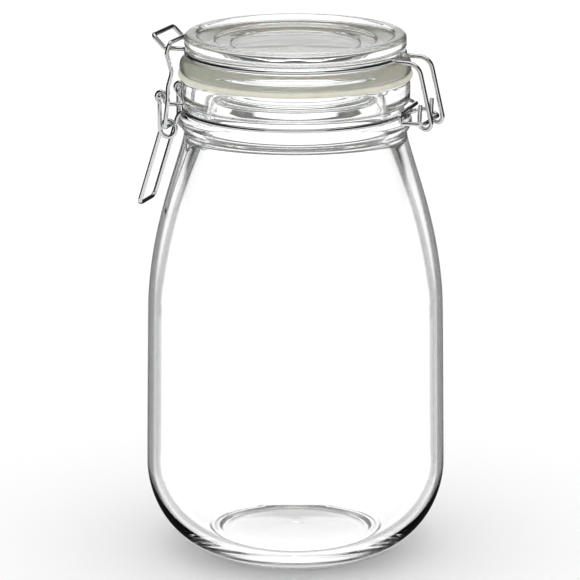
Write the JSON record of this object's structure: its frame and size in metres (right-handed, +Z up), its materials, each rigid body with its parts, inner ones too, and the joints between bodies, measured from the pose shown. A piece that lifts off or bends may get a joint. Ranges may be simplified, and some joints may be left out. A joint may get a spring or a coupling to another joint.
{
  "type": "lidded glass canister",
  "caption": "Clear glass storage canister with a glass lid on a wire hinge, a flat rubber gasket and a wire toggle latch that clamps the lid down",
  "frame": {"origin": "middle of the whole closed canister's footprint, on the plane it stands on", "axes": "+Z up through the lid, +X towards the lid's hinge, -X towards the latch, Y across, along the hinge and latch bars"},
  "size_m": [0.1289, 0.124, 0.217],
  "materials": {
    "jar_glass": "clear, smooth",
    "lid_glass": "clear, smooth",
    "gasket_rubber": "matte, translucent off-white",
    "wire": "bright drawn steel wire"
  },
  "bodies": {
    "jar": {"glass_jar": "jar_glass", "neck_wire": "wire"},
    "lid": {"glass_lid": "lid_glass", "rubber_gasket": "gasket_rubber", "lid_wire": "wire"},
    "lever": {"latch_lever": "wire"},
    "link": {"latch_link": "wire"}
  },
  "joints": [
    {"name": "lid_hinge", "type": "hinge", "parent": "jar", "child": "lid", "pos_m": [0.06045, 0, 0.1851], "axis": [0, 1, 0], "range_deg": [0, 210]},
    {"name": "lever_pivot", "type": "hinge", "parent": "jar", "child": "lever", "pos_m": [-0.05235, 0, 0.18865], "axis": [0, 1, 0], "range_deg": [0, 120]},
    {"name": "link_pivot", "type": "hinge", "parent": "lever", "child": "link", "pos_m": [-0.04975, 0, 0.1764], "axis": [0, 1, 0], "range_deg": [-84, 0]}
  ],
  "couplings": [
    {"joint": "link_pivot", "follows": "lever_pivot", "ratio": -0.7}
  ]
}
